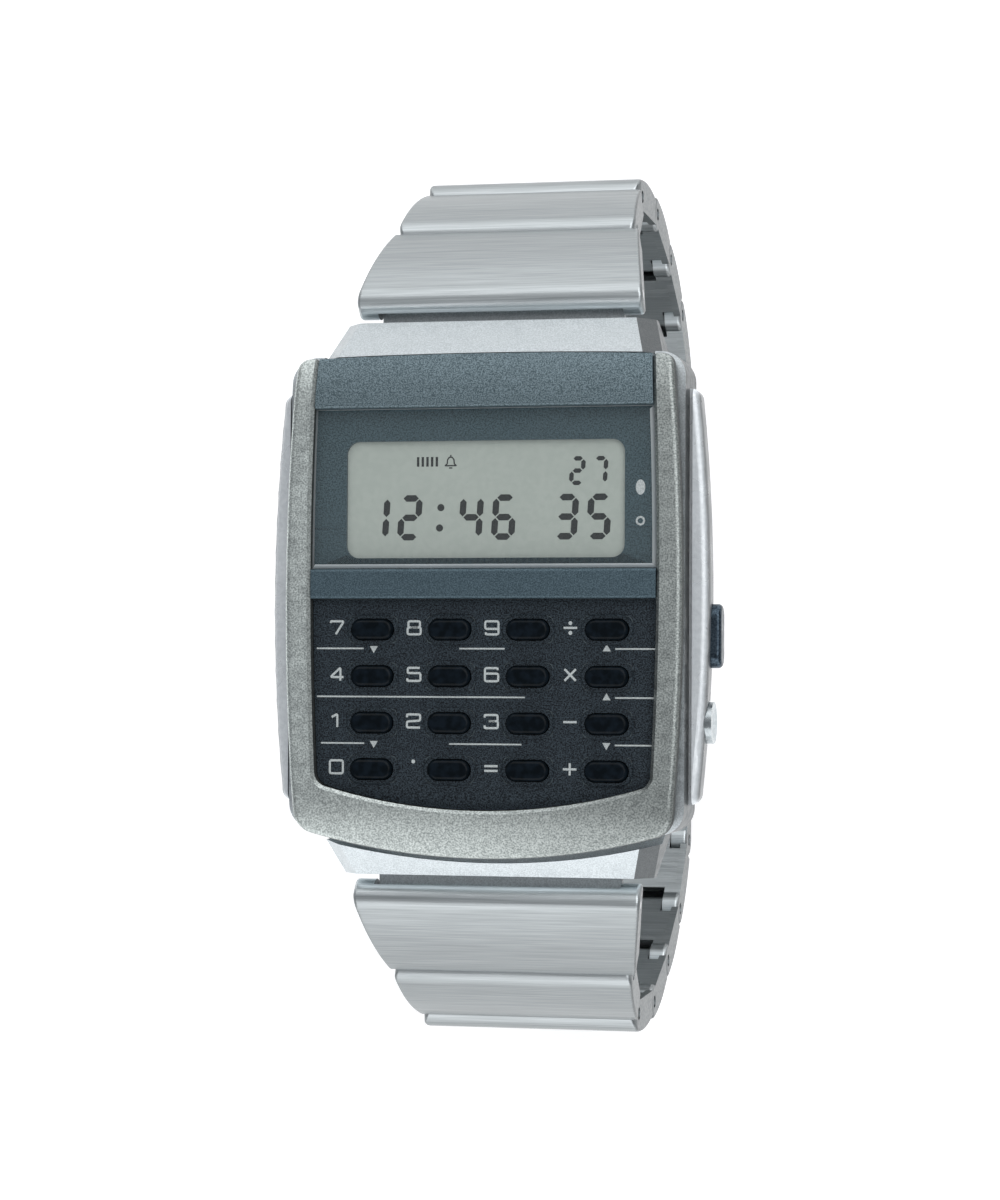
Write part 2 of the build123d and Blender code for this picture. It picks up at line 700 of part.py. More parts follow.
def link(station):
    """The folded link after a pin. Its near pin lies along X through the origin and its cap faces +Z."""
    length = link_pitch if station else first_link_pitch
    near, far = joint_half_width(station), joint_half_width(station + 1) + far_margin
    knuckle = knuckle_half_width(station + 1)
    side = cap_side(length) + Circle(roll_radius) - Pos(length, 0) * Circle(roll_radius + swing_gap)

    def plan(inset, start, stop):
        """The link's tapered outline from the front, drawn in at its sides."""
        slope = (far - near) / (length + roll_radius)
        first = near - inset + slope * (start + roll_radius)
        last = near - inset + slope * (stop + roll_radius)
        return make_face(Polyline((-first, start), (first, start), (last, stop), (-last, stop), close=True))

    def upright(outline):
        return Pos(0, 0, -2 * roll_radius) * extrude(outline, 4 * roll_radius)

    outer = plan(0, -roll_radius - swing_gap, length + roll_radius)
    outer = fillet(outer.vertices().group_by(Axis.Y)[0], near_corner_radii[min(station, 1)])
    body = across(side, near + flange) & upright(outer)
    tops = body.edges().filter_by(
        lambda e: e.center().Z > roll_radius / 2 and e.center().Y > 0
        and abs(e.center().X) > far - link_edge_radius - far_margin)
    body = fillet(tops, link_edge_radius)
    body -= across(near_end(), knuckle_half_width(station) + ear_gap)
    hollow = Pos(0, -sheet) * cap_side(length)
    hollow = hollow & box_outline(throat, length, -2 * roll_radius, 2 * roll_radius)
    hollow += box_outline(length / 2, length + overrun, -2 * roll_radius, far_height - sheet)
    body -= across(hollow, near) & upright(plan(flange, 0, length + overrun))
    web_end = length - roll_radius - swing_gap
    web = box_outline(throat, web_end, -knuckle_radius, neck_thickness - knuckle_radius)
    body += across(web, near) & upright(plan(flange / 2, throat, web_end))
    tongue = Pos(length, 0) * (Circle(knuckle_radius) + knuckle_neck(web_end - length - seat_gap, 0))
    body += across(tongue, knuckle)
    body -= across(Pos(length, 0) * Circle(pin_radius + running_clearance), near)
    return body - across(Circle(pin_radius + press_clearance), near + overrun)


def pin(station, radius=pin_radius):
    """The pin of one joint, a little short of the bracelet's edges."""
    return across(Circle(radius), joint_half_width(station) - link_edge_radius)


def placed(piece, station, side):
    """A piece drawn from its near pin, put at a station at 12 o'clock or mirrored to 6 o'clock."""
    y, depth, tilt = stations[station]
    facing = (0, sin(radians(tilt)), cos(radians(tilt)))
    plane = Plane(origin=(0, y, face_z - depth), x_dir=(1, 0, 0), z_dir=facing)
    piece = plane.location * piece
    return piece if side == "12" else mirror(piece, Plane.XZ)


# Clasp: a body hinged to the 6 o'clock half, with hooks for the bar of the 12 o'clock half, and a cover
body_floor = 0.5
wall_inset, wall = 0.7, 0.6
wall_half_width = strap_half_width - wall_inset
wall_rise = 0.75            # the walls' edge, on the cover's side of the pins' plane
clasp_head_length = 3.0     # the rolled end that looks like one more link
hook_outer_radius, hook_clearance = 1.15, 0.1
hook_start, hook_stop = 120, 200        # degrees round the bar that a hook covers; the rest is its mouth
cover_sheet = 0.5
cover_start = 4.5           # the cover's hinge, from the clasp's own pin
cover_end_gap = 1.15        # between the cover's edge and the bar
cover_lip_gap = 0.1
cover_hinge_drop = 0.95     # the cover's hinge below its outer face
cover_pin_radius = 0.4
cover_edge_radius = 0.3
cover_barrel_gap = 0.1


def clasp_body():
    head = make_face(Polyline(
        (0, -link_underside), (clasp_head_length, -link_underside), (clasp_head_length, roll_radius),
        (0, roll_radius), close=True,
    )) + Circle(roll_radius)
    body = across(head, strap_half_width)
    tops = body.edges().filter_by(
        lambda e: abs(e.center().X) > strap_half_width - seat_gap and e.center().Z > roll_radius / 2)
    body = fillet(tops, link_edge_radius)
    body -= across(near_end(), knuckle_half_width(len(bends)) + ear_gap)
    hollow = box_outline(
        throat, clasp_head_length + overrun, body_floor - link_underside, roll_radius - sheet)
    body -= across(hollow, strap_half_width - flange)
    floor_end = clasp_length - hook_outer_radius - swing_gap
    floor = box_outline(throat, floor_end, -link_underside, body_floor - link_underside)
    body += across(floor, wall_half_width)
    bar_room = pin_radius + hook_clearance
    cheek = box_outline(throat, clasp_length - bar_room - seat_gap, -link_underside, wall_rise)
    reach = 2 * hook_outer_radius
    rays = [(reach * cos(radians(turn)), reach * sin(radians(turn))) for turn in (hook_start, hook_stop)]
    middle = radians((hook_start + hook_stop) / 2)
    jaw = (Circle(hook_outer_radius) - Circle(bar_room)) & make_face(
        Polyline((0, 0), rays[0], (reach * cos(middle), reach * sin(middle)), rays[1], close=True))
    cheek += Pos(clasp_length, 0) * jaw
    cheek -= Pos(cover_start, roll_radius - cover_hinge_drop) * Circle(cover_pin_radius + press_clearance)
    body += at_both_sides(cheek, wall_half_width - wall, wall_half_width)
    return body - across(Circle(pin_radius + press_clearance), strap_half_width + overrun)


def clasp_cover():
    """The pressed cover: a plate with side lips, rolled round its hinge pin."""
    hinge = Pos(cover_start, roll_radius - cover_hinge_drop)
    end = clasp_length - cover_end_gap
    low = roll_radius - 2 * cover_hinge_drop
    rounded = hinge * Circle(cover_hinge_drop)
    shell = across(rounded + box_outline(cover_start, end, low, roll_radius), strap_half_width)
    tops = shell.edges().filter_by(
        lambda e: e.center().Z > roll_radius - seat_gap and
        (abs(e.center().X) > strap_half_width - seat_gap or e.center().Y > end - seat_gap))
    shell = fillet(tops, cover_edge_radius)
    inner = box_outline(
        cover_start + cover_hinge_drop, end + overrun, low - overrun, roll_radius - cover_sheet)
    shell -= across(inner, wall_half_width + cover_lip_gap)
    slot = hinge * Circle(cover_hinge_drop + overrun) - box_outline(
        0, clasp_length, roll_radius, 2 * roll_radius)
    slot += box_outline(
        cover_start, cover_start + cover_hinge_drop, low - overrun, roll_radius - cover_sheet)
    gap_inner = wall_half_width - wall - cover_barrel_gap
    shell -= at_both_sides(slot, gap_inner, wall_half_width + cover_lip_gap)
    return shell - across(hinge * Circle(cover_pin_radius + running_clearance), strap_half_width + overrun)


def cover_pin():
    hinge = Pos(cover_start, roll_radius - cover_hinge_drop)
    return across(hinge * Circle(cover_pin_radius), strap_half_width - cover_edge_radius)


def pieces():
    """Every sub-part by name."""
    made = {
        "case_body": case_body(),
        "bezel": bezel(),
        "top_strip": top_strip(),
        "divider_strip": divider_strip(),
        "crystal": crystal(),
        "display_mask": display_mask(),
        "lcd_cell": lcd_cell(),
        "lcd_reflector": lcd_reflector(),
        "lcd_connectors": lcd_connectors(),
        "keypad_plate": keypad_plate(),
        "keypad_mat": keypad_mat(),
        "circuit_board": circuit_board(),
        "chip": chip(),
        "quartz_can": quartz_can(),
        "module_frame": module_frame(),
        "battery": battery(),
        "battery_clip": battery_clip(),
        "buzzer_disc": buzzer_disc(),
        "back_gasket": back_gasket(),
        "case_back": case_back(),
        "case_back_screws": case_back_screws(),
        "side_rail_right": side_rail() - pusher_cuts(),
        "side_rail_left": mirror(side_rail(), Plane.YZ),
        "mode_pusher": mode_pusher(),
        "adjust_pusher": adjust_pusher(),
        "pusher_seals": pusher_seals(),
    }
    for name, (x, y) in key_places():
        made["key_" + name] = key(x, y)
    links = [link(station) for station in range(len(bends))]
    for side in ("12", "6"):
        made["spring_bar_" + side] = placed(pin(0), 0, side)
        for station, folded in enumerate(links):
            piece = folded + pin(station) if station else folded
            made["link_" + side + "_" + str(station + 1)] = placed(piece, station, side)
    last = len(bends)
    made["clasp_bar"] = placed(pin(last), last, "12")
    made["clasp_body"] = placed(clasp_body() + pin(last), last, "6")
    made["clasp_cover"] = placed(clasp_cover(), last, "6")
    made["clasp_cover_pin"] = placed(cover_pin(), last, "6")
    return made


if __name__ == "__main__":
    os.makedirs("parts", exist_ok=True)
    for name, piece in pieces().items():
        export_step(piece, "parts/" + name + ".step")
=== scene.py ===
import bpy
import bmesh
from math import sin, cos, tan, pi, radians
from mathutils import Vector, Matrix


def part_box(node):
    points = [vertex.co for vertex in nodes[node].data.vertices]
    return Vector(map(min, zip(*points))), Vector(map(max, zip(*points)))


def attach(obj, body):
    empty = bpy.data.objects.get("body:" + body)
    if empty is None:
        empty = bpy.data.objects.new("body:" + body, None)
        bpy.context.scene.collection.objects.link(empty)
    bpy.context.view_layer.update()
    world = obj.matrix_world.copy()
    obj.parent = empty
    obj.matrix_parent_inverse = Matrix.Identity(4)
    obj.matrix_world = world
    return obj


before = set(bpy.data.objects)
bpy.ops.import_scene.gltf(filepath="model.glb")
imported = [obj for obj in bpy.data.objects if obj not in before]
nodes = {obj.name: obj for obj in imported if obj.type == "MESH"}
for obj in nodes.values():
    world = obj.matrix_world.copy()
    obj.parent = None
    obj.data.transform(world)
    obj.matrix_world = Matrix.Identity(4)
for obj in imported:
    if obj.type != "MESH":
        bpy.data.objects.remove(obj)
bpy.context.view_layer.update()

mm = 0.001
keyNodes = [node for node in nodes if node.startswith("key_")]

# the printed faces lie this far below the bezel's front
sunk = {"plate": 0.95 * mm, "mask": 1.15 * mm, "lcd": 1.5 * mm}
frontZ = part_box("bezel")[1].z
plateZ = frontZ - sunk["plate"]
maskZ = frontZ - sunk["mask"]
lcdZ = frontZ - sunk["lcd"]


# material nodes

def shaderOf(mat):
    return mat.node_tree.nodes["Principled BSDF"]


def newMaterial(name, colour, roughness, metallic=0.0, coat=0.0, coatRoughness=0.08, alpha=1.0, specular=0.5):
    mat = bpy.data.materials.new(name)
    mat.use_nodes = True
    values = {"Base Color": (*colour, 1), "Roughness": roughness, "Metallic": metallic, "Coat Weight": coat,
              "Coat Roughness": coatRoughness, "Alpha": alpha, "Specular IOR Level": specular}
    for socket, value in values.items():
        shaderOf(mat).inputs[socket].default_value = value
    return mat


def shadeBy(mat, socket, output):
    mat.node_tree.links.new(output, shaderOf(mat).inputs[socket])


def addNode(mat, kind, inputs, operation=None):
    # a new node whose inputs are each joined to another node's output or set to a value
    node = mat.node_tree.nodes.new(kind)
    if operation:
        node.operation = operation
    for socket, given in inputs.items():
        if isinstance(given, bpy.types.NodeSocket):
            mat.node_tree.links.new(given, node.inputs[socket])
        else:
            node.inputs[socket].default_value = given
    return node


def axisOf(mat, output, axis):
    return addNode(mat, "ShaderNodeSeparateXYZ", {"Vector": output}).outputs[axis]


def normalOf(mat, axis):
    facing = addNode(mat, "ShaderNodeNewGeometry", {})
    return axisOf(mat, facing.outputs["Normal"], axis)


def placeOf(mat, axis):
    place = addNode(mat, "ShaderNodeTexCoord", {})
    return axisOf(mat, place.outputs["Object"], axis)


def absolute(mat, value):
    return addNode(mat, "ShaderNodeMath", {0: value}, "ABSOLUTE").outputs[0]


def combine(mat, operation, first, second):
    return addNode(mat, "ShaderNodeMath", {0: first, 1: second}, operation).outputs[0]


def ramp(mat, value, start, stop, first, last):
    # runs from first to last while the value goes from start to stop
    spread = addNode(mat, "ShaderNodeMapRange", {
        "Value": value, "From Min": start, "From Max": stop, "To Min": first, "To Max": last})
    return spread.outputs["Result"]


def noise(mat, size, stretch=(1, 1, 1), detail=2.0):
    # spots about size metres wide, drawn out along an axis by a share under 1
    place = addNode(mat, "ShaderNodeTexCoord", {})
    mapping = addNode(mat, "ShaderNodeMapping", {"Vector": place.outputs["Object"], "Scale": stretch})
    spots = addNode(mat, "ShaderNodeTexNoise", {
        "Vector": mapping.outputs["Vector"], "Scale": 1 / size, "Detail": detail})
    return spots.outputs["Fac"]


def colourFrom(mat, fac, dark, light, low=0.38, high=0.62):
    colours = addNode(mat, "ShaderNodeValToRGB", {"Fac": fac})
    for element, position, colour in zip(colours.color_ramp.elements, (low, high), (dark, light)):
        element.position = position
        element.color = (*colour, 1)
    shadeBy(mat, "Base Color", colours.outputs["Color"])


def roughnessFrom(mat, fac, low, high):
    # nearly all of the noise lies between 0.3 and 0.7
    shadeBy(mat, "Roughness", ramp(mat, fac, start=0.3, stop=0.7, first=low, last=high))


def bumpFrom(mat, fac, depth):
    bump = addNode(mat, "ShaderNodeBump", {"Height": fac, "Distance": depth})
    shadeBy(mat, "Normal", bump.outputs["Normal"])


def scaleColour(mat, factor):
    source = shaderOf(mat).inputs["Base Color"].links[0].from_socket
    scaled = addNode(mat, "ShaderNodeVectorMath", {0: source, "Scale": factor}, "SCALE")
    shadeBy(mat, "Base Color", scaled.outputs["Vector"])


# finishes

def speckle(mat, dark, light, grain, depth):
    # fine spots in colour and relief
    spots = noise(mat, grain, detail=3)
    colourFrom(mat, spots, dark, light)
    bumpFrom(mat, spots, depth)


def blasted(name, dark, light, roughness, grain, depth, metallic=1.0):
    # bead-blasted metal, with wider patches of roughness
    mat = newMaterial(name, light, roughness, metallic)
    speckle(mat, dark, light, grain, depth)
    roughnessFrom(mat, noise(mat, 6 * grain), low=roughness - 0.06, high=roughness + 0.08)
    return mat


def brushed(name, dark, light, roughness, pitch, depth, along="X", stretch=0.012):
    # hairlines along one axis of the watch
    drawn = {"X": (stretch, 1, 1), "Y": (1, stretch, 1)}[along]
    mat = newMaterial(name, light, roughness, metallic=1.0)
    lines = noise(mat, pitch, drawn, detail=4)
    colourFrom(mat, lines, dark, light, low=0.3, high=0.7)
    roughnessFrom(mat, noise(mat, 3 * pitch, drawn), low=roughness - 0.07, high=roughness + 0.08)
    bumpFrom(mat, lines, depth)
    return mat


def moulded(name, dark, light, roughness, grain, depth, coat=0.0, specular=0.5):
    # moulded, printed or painted surfaces, of one even roughness
    mat = newMaterial(name, light, roughness, coat=coat, specular=specular)
    speckle(mat, dark, light, grain, depth)
    return mat


finish = {
    "bezel": blasted("blastedSilver", dark=(0.29, 0.32, 0.315), light=(0.60, 0.645, 0.63),
                     roughness=0.42, grain=0.13 * mm, depth=0.011 * mm),
    "case": blasted("lightSilver", dark=(0.51, 0.55, 0.57), light=(0.67, 0.72, 0.745),
                    roughness=0.36, grain=0.11 * mm, depth=0.006 * mm),
    "topStrip": blasted("slateTopStrip", dark=(0.056, 0.086, 0.100), light=(0.205, 0.272, 0.305),
                        roughness=0.45, grain=0.10 * mm, depth=0.010 * mm, metallic=0.55),
    "divider": blasted("slateDivider", dark=(0.040, 0.068, 0.085), light=(0.105, 0.158, 0.192),
                       roughness=0.45, grain=0.10 * mm, depth=0.006 * mm, metallic=0.55),
    "mask": moulded("slateMask", dark=(0.024, 0.044, 0.054), light=(0.066, 0.108, 0.126),
                    roughness=0.5, grain=0.12 * mm, depth=0.002 * mm, specular=0.2),
    "plate": moulded("blackPlate", dark=(0.002, 0.003, 0.005), light=(0.042, 0.058, 0.072),
                     roughness=0.55, grain=0.10 * mm, depth=0.012 * mm, specular=0.15),
    "key": moulded("blackKey", dark=(0.002, 0.004, 0.006), light=(0.005, 0.009, 0.014),
                   roughness=0.26, grain=0.6 * mm, depth=0.001 * mm, specular=0.1),
    "link": brushed("brushedLink", dark=(0.40, 0.43, 0.44), light=(0.56, 0.595, 0.61),
                    roughness=0.36, pitch=0.07 * mm, depth=0.003 * mm),
    "back": brushed("brushedBack", dark=(0.52, 0.53, 0.54), light=(0.68, 0.69, 0.70),
                    roughness=0.30, pitch=0.08 * mm, depth=0.003 * mm, along="Y"),
    "rail": blasted("polishedRail", dark=(0.72, 0.76, 0.79), light=(0.80, 0.84, 0.87),
                    roughness=0.30, grain=0.4 * mm, depth=0.0001 * mm, metallic=0.35),
    "button": blasted("turnedButton", dark=(0.40, 0.44, 0.46), light=(0.52, 0.56, 0.58),
                      roughness=0.26, grain=0.3 * mm, depth=0.0002 * mm),
    "pin": brushed("pinSteel", dark=(0.50, 0.50, 0.51), light=(0.66, 0.66, 0.67),
                   roughness=0.22, pitch=0.05 * mm, depth=0.001 * mm),
    "darkPusher": blasted("darkPusher", dark=(0.018, 0.026, 0.036), light=(0.045, 0.062, 0.078),
                          roughness=0.3, grain=0.15 * mm, depth=0.002 * mm),
    "lcd": moulded("displayGlass", dark=(0.375, 0.420, 0.385), light=(0.400, 0.445, 0.408),
                   roughness=0.45, grain=0.5 * mm, depth=0.0005 * mm, specular=0.1),
    "rubber": moulded("blackRubber", dark=(0.010, 0.010, 0.011), light=(0.028, 0.028, 0.030),
                      roughness=0.7, grain=0.2 * mm, depth=0.01 * mm),
    "zebra": moulded("stripedRubber", dark=(0.10, 0.09, 0.10), light=(0.42, 0.38, 0.40),
                     roughness=0.6, grain=0.15 * mm, depth=0.002 * mm),
    "board": moulded("boardGreen", dark=(0.010, 0.055, 0.025), light=(0.022, 0.11, 0.050),
                     roughness=0.35, grain=0.5 * mm, depth=0.004 * mm, coat=0.3),
    "plastic": moulded("modulePlastic", dark=(0.030, 0.030, 0.033), light=(0.060, 0.060, 0.064),
                       roughness=0.5, grain=0.2 * mm, depth=0.006 * mm),
    "chip": moulded("chipBlack", dark=(0.008, 0.008, 0.009), light=(0.022, 0.022, 0.024),
                    roughness=0.5, grain=0.1 * mm, depth=0.004 * mm),
    "can": brushed("drawnCan", dark=(0.52, 0.52, 0.50), light=(0.70, 0.70, 0.68),
                   roughness=0.28, pitch=0.08 * mm, depth=0.002 * mm),
    "cell": blasted("cellSteel", dark=(0.56, 0.56, 0.54), light=(0.68, 0.68, 0.66),
                    roughness=0.3, grain=0.3 * mm, depth=0.002 * mm),
    "brass": blasted("buzzerBrass", dark=(0.48, 0.33, 0.12), light=(0.66, 0.48, 0.20),
                     roughness=0.3, grain=0.2 * mm, depth=0.002 * mm),
    "foil": blasted("reflectorFoil", dark=(0.55, 0.57, 0.52), light=(0.68, 0.70, 0.65),
                    roughness=0.4, grain=0.1 * mm, depth=0.002 * mm),
    "rim": moulded("keyRim", dark=(0.014, 0.020, 0.024), light=(0.060, 0.082, 0.095),
                   roughness=0.4, grain=0.12 * mm, depth=0.002 * mm, specular=0.4),
    "print": moulded("paleInk", dark=(0.36, 0.40, 0.41), light=(0.58, 0.62, 0.62),
                     roughness=0.5, grain=0.08 * mm, depth=0.002 * mm, specular=0.2),
    "segment": moulded("segmentInk", dark=(0.006, 0.008, 0.008), light=(0.014, 0.017, 0.017),
                       roughness=0.5, grain=0.2 * mm, depth=0.001 * mm, specular=0.1),
}


def paintSideLighting(mat, start, stop, share, axis="X"):
    # painted shade by facing, and a painted highlight where the share is over 1: the colour goes to a share
    # of itself as the facing along the axis goes from start to stop
    scaleColour(mat, ramp(mat, absolute(mat, normalOf(mat, axis)), start, stop, 1, share))


def paintFlankShade(mat, start, stop, share, specular=0.1):
    # painted shade: the right flank is darker, and less metallic so that it stays dark when seen along its
    # face
    flankShade = ramp(mat, normalOf(mat, "X"), start, stop, 1, share)
    scaleColour(mat, flankShade)
    shadeBy(mat, "Metallic", flankShade)
    shaderOf(mat).inputs["Specular IOR Level"].default_value = specular


bezelTone = {"side": 14 * mm, "left": 1.38, "right": 0.86,
             "ends": 0.82, "endsFrom": 12 * mm, "endsTo": 19 * mm}


def toneBezel(mat, tone):
    # painted shade on its walls and right flank, painted light that makes its left side lighter than its
    # right, and darker at its two ends
    paintSideLighting(mat, start=0.6, stop=0.2, share=0.35, axis="Z")
    paintFlankShade(mat, start=0.5, stop=0.9, share=0.4)
    scaleColour(mat, ramp(mat, placeOf(mat, "X"), -tone["side"], tone["side"], tone["left"], tone["right"]))
    fromMiddle = absolute(mat, placeOf(mat, "Y"))
    scaleColour(mat, ramp(mat, fromMiddle, tone["endsFrom"], tone["endsTo"], 1, tone["ends"]))


caseTone = {"hood": 10 * mm, "upper": 0.76}


def toneCase(mat, tone):
    # painted shade on its right flank, and its hood at 12 o'clock is a little darker than the other
    paintFlankShade(mat, start=0.2, stop=0.5, share=0.25)
    scaleColour(mat, ramp(mat, placeOf(mat, "Y"), -tone["hood"], tone["hood"], 1, tone["upper"]))


linkTone = {"headEnd": 20 * mm, "edge": 1.6, "edgeFrom": -0.5, "edgeTo": 0.1, "cap": 1.18,
            "covered": 0.54, "coveredFrom": 0.15, "coveredTo": 0.75,
            "inner": 0.32, "innerFrom": -0.5, "innerTo": -0.75, "innerTop": 38 * mm, "innerLow": 32 * mm}


def toneLink(mat, tone):
    # a painted highlight on the rolled edge, and painted shade as the tone falls off towards the end that the
    # next link covers
    # painted shade on the link's sides
    paintSideLighting(mat, start=0.4, stop=0.85, share=0.28)
    # outward is 1 on a face that looks away from the head along the band, and -1 on one that looks at it
    side = ramp(mat, placeOf(mat, "Y"), -tone["headEnd"], tone["headEnd"], -1, 1)
    outward = combine(mat, "MULTIPLY", normalOf(mat, "Y"), side)
    scaleColour(mat, ramp(mat, outward, tone["edgeFrom"], tone["edgeTo"], tone["edge"], tone["cap"]))
    scaleColour(mat, ramp(mat, outward, tone["coveredFrom"], tone["coveredTo"], 1, tone["covered"]))
    # painted shade on the inner faces of the low links
    inner = ramp(mat, placeOf(mat, "Z"), tone["innerTop"], tone["innerLow"], 1, tone["inner"])
    inward = ramp(mat, outward, tone["innerFrom"], tone["innerTo"], 0, 1)
    scaleColour(mat, ramp(mat, inward, 0, 1, 1, inner))


glass = {"tint": (0.9, 0.93, 0.94), "dark": (0.78, 0.84, 0.86), "light": (0.88, 0.93, 0.95),
         "low": 0.35, "high": 0.65, "grain": 4 * mm, "roughness": 0.03, "alpha": 0.04,
         "clear": 0.03, "lowEdge": 0.8, "rightEdge": 0.45, "edge": (0.1, 0.4)}


def clearGlass(name):
    # clear, with a painted highlight where its ground bevel catches the light at its lower and right edges
    mat = newMaterial(name, glass["tint"], glass["roughness"], alpha=glass["alpha"])
    colourFrom(mat, noise(mat, glass["grain"]), glass["dark"], glass["light"], glass["low"], glass["high"])
    start, stop = glass["edge"]
    low = ramp(mat, normalOf(mat, "Y"), -start, -stop, glass["clear"], glass["lowEdge"])
    right = ramp(mat, normalOf(mat, "X"), start, stop, glass["clear"], glass["rightEdge"])
    shadeBy(mat, "Alpha", combine(mat, "MAXIMUM", low, right))
    return mat


toneBezel(finish["bezel"], bezelTone)
toneCase(finish["case"], caseTone)
toneLink(finish["link"], linkTone)
# painted shade on the rail's sides
paintSideLighting(finish["rail"], start=0.6, stop=0.9, share=0.22)
# a painted highlight on the pusher's edge
paintSideLighting(finish["darkPusher"], start=0.85, stop=0.4, share=1.9)  # its edge is lighter than its end
finish["crystal"] = clearGlass("clearGlass")
print("finishes made:", len(finish))

wears = {
    "bezel": "bezel", "case_body": "case", "top_strip": "topStrip", "divider_strip": "divider",
    "crystal": "crystal", "display_mask": "mask", "lcd_cell": "lcd", "lcd_reflector": "foil",
    "lcd_connectors": "zebra", "keypad_plate": "plate", "keypad_mat": "rubber", "circuit_board": "board",
    "chip": "chip", "quartz_can": "can", "module_frame": "plastic", "battery": "cell", "battery_clip": "back",
    "buzzer_disc": "brass", "back_gasket": "rubber", "case_back": "back", "case_back_screws": "pin",
    "side_rail_right": "rail", "side_rail_left": "rail", "pusher_seals": "rubber",
    "mode_pusher": "darkPusher", "adjust_pusher": "button", "clasp_bar": "pin", "clasp_body": "link",
    "clasp_cover": "link", "clasp_cover_pin": "pin", "spring_bar_12": "pin", "spring_bar_6": "pin",
}


def dress(node):
    # all keys are alike, and so are all links
    kind = node.split("_")[0]
    material = finish[kind] if kind in ("key", "link") else finish[wears[node]]
    slots = nodes[node].data.materials
    for index in range(len(slots)):
        slots[index] = material


for node in nodes:
    dress(node)
print("materials on", len(nodes), "nodes")


# flat prints

ink = {"width": 0.18 * mm, "height": 0.012 * mm, "cornerShare": 0.32}

# each sign as strokes on a unit square; the flag closes a stroke into a ring
signs = {
    "0": [([(0, 0), (1, 0), (1, 1), (0, 1)], True)],
    "1": [([(0.12, 0.76), (0.55, 1), (0.55, 0)], False)],
    "2": [([(0, 0.78), (0, 1), (1, 1), (1, 0.53), (0, 0.47), (0, 0), (1, 0)], False)],
    "3": [([(0, 0.8), (0, 1), (0.97, 1), (0.97, 0.53), (0.3, 0.53)], False),
          ([(0.3, 0.53), (1, 0.53), (1, 0), (0, 0), (0, 0.2)], False)],
    "4": [([(0.76, 0), (0.76, 1), (0, 0.27), (1, 0.27)], False)],
    "5": [([(0.95, 1), (0.04, 1), (0.02, 0.6), (1, 0.6), (1, 0), (0, 0), (0, 0.2)], False)],
    "6": [([(0.95, 0.84), (0.95, 1), (0, 1), (0, 0), (1, 0), (1, 0.58), (0, 0.58)], False)],
    "7": [([(0, 0.86), (0, 1), (1, 1), (0.38, 0)], False)],
    "8": [([(0, 0), (1, 0), (1, 0.53), (0, 0.53)], True),
          ([(0.06, 0.53), (0.94, 0.53), (0.94, 1), (0.06, 1)], True)],
    "9": [([(0.05, 0.16), (0.05, 0), (1, 0), (1, 1), (0, 1), (0, 0.42), (1, 0.42)], False)],
    "divide": [([(0, 0.5), (1, 0.5)], False)],
    "times": [([(0.08, 0.06), (0.92, 0.94)], False), ([(0.08, 0.94), (0.92, 0.06)], False)],
    "minus": [([(0, 0.5), (1, 0.5)], False)],
    "equals": [([(0, 0.68), (1, 0.68)], False), ([(0, 0.32), (1, 0.32)], False)],
    "plus": [([(0, 0.5), (1, 0.5)], False), ([(0.5, 0.04), (0.5, 0.96)], False)],
}


def keep(name, bm, material="print"):
    data = bpy.data.meshes.new(name)
    bm.to_mesh(data)
    bm.free()
    piece = bpy.data.objects.new(name, data)
    bpy.context.scene.collection.objects.link(piece)
    data.materials.append(finish[material])
    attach(piece, "head")


def centre(node):
    low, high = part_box(node)
    return (low + high) / 2


def placed(x, y, z, size=(1, 1, 1)):
    return Matrix.Translation((x, y, z)) @ Matrix.Diagonal((*size, 1))


def drawnAt(points, x, y, wide, tall):
    # the points of a unit drawing, at their size and place on the watch
    return [(x + across * wide, y + up * tall) for across, up in points]


def inkStroke(curve, points, closed, soft):
    # a quadratic spline that follows the points and rounds each corner over a length of soft
    path = []
    count = len(points)
    for i, here in enumerate(points):
        here = Vector(here)
        if not closed and i in (0, count - 1):
            path.append(here)
            continue
        before, after = Vector(points[i - 1]), Vector(points[(i + 1) % count])
        back, on = before - here, after - here
        path.append(here + back.normalized() * min(soft, back.length / 2))
        path.append(here)
        path.append(here + on.normalized() * min(soft, on.length / 2))
    spline = curve.splines.new("NURBS")
    spline.points.add(len(path) - 1)
    for point, at in zip(spline.points, path):
        point.co = (at.x, at.y, 0, 1)
    spline.use_cyclic_u = closed
    spline.use_endpoint_u = not closed
    spline.order_u = 3
    spline.resolution_u = 4


def inkPrint(name, strokes, width, z, material="print"):
    # strokes of ink with a soft flat top, lying on the surface at z
    curve = bpy.data.curves.new(name, "CURVE")
    curve.dimensions = "3D"
    curve.bevel_depth = width / 2
    curve.bevel_resolution = 2
    curve.use_fill_caps = True
    for points, closed, soft in strokes:
        inkStroke(curve, points, closed, soft)
    holder = bpy.data.objects.new(name, curve)
    bpy.context.scene.collection.objects.link(holder)
    data = bpy.data.meshes.new_from_object(holder.evaluated_get(bpy.context.evaluated_depsgraph_get()))
    bpy.data.objects.remove(holder)
    bm = bmesh.new()
    bm.from_mesh(data)
    bpy.data.meshes.remove(data)
    bmesh.ops.scale(bm, vec=(1, 1, 2 * ink["height"] / width), verts=bm.verts)
    bmesh.ops.translate(bm, vec=(0, 0, z), verts=bm.verts)
    keep(name, bm, material)


legend = {"wide": 1.04 * mm, "tall": 1.0 * mm, "beside": 2.86 * mm, "lift": 0.14 * mm, "dot": 0.30 * mm,
          "dotLifts": {"point": [0.62 * mm], "divide": [0.50 * mm, -0.24 * mm]}}


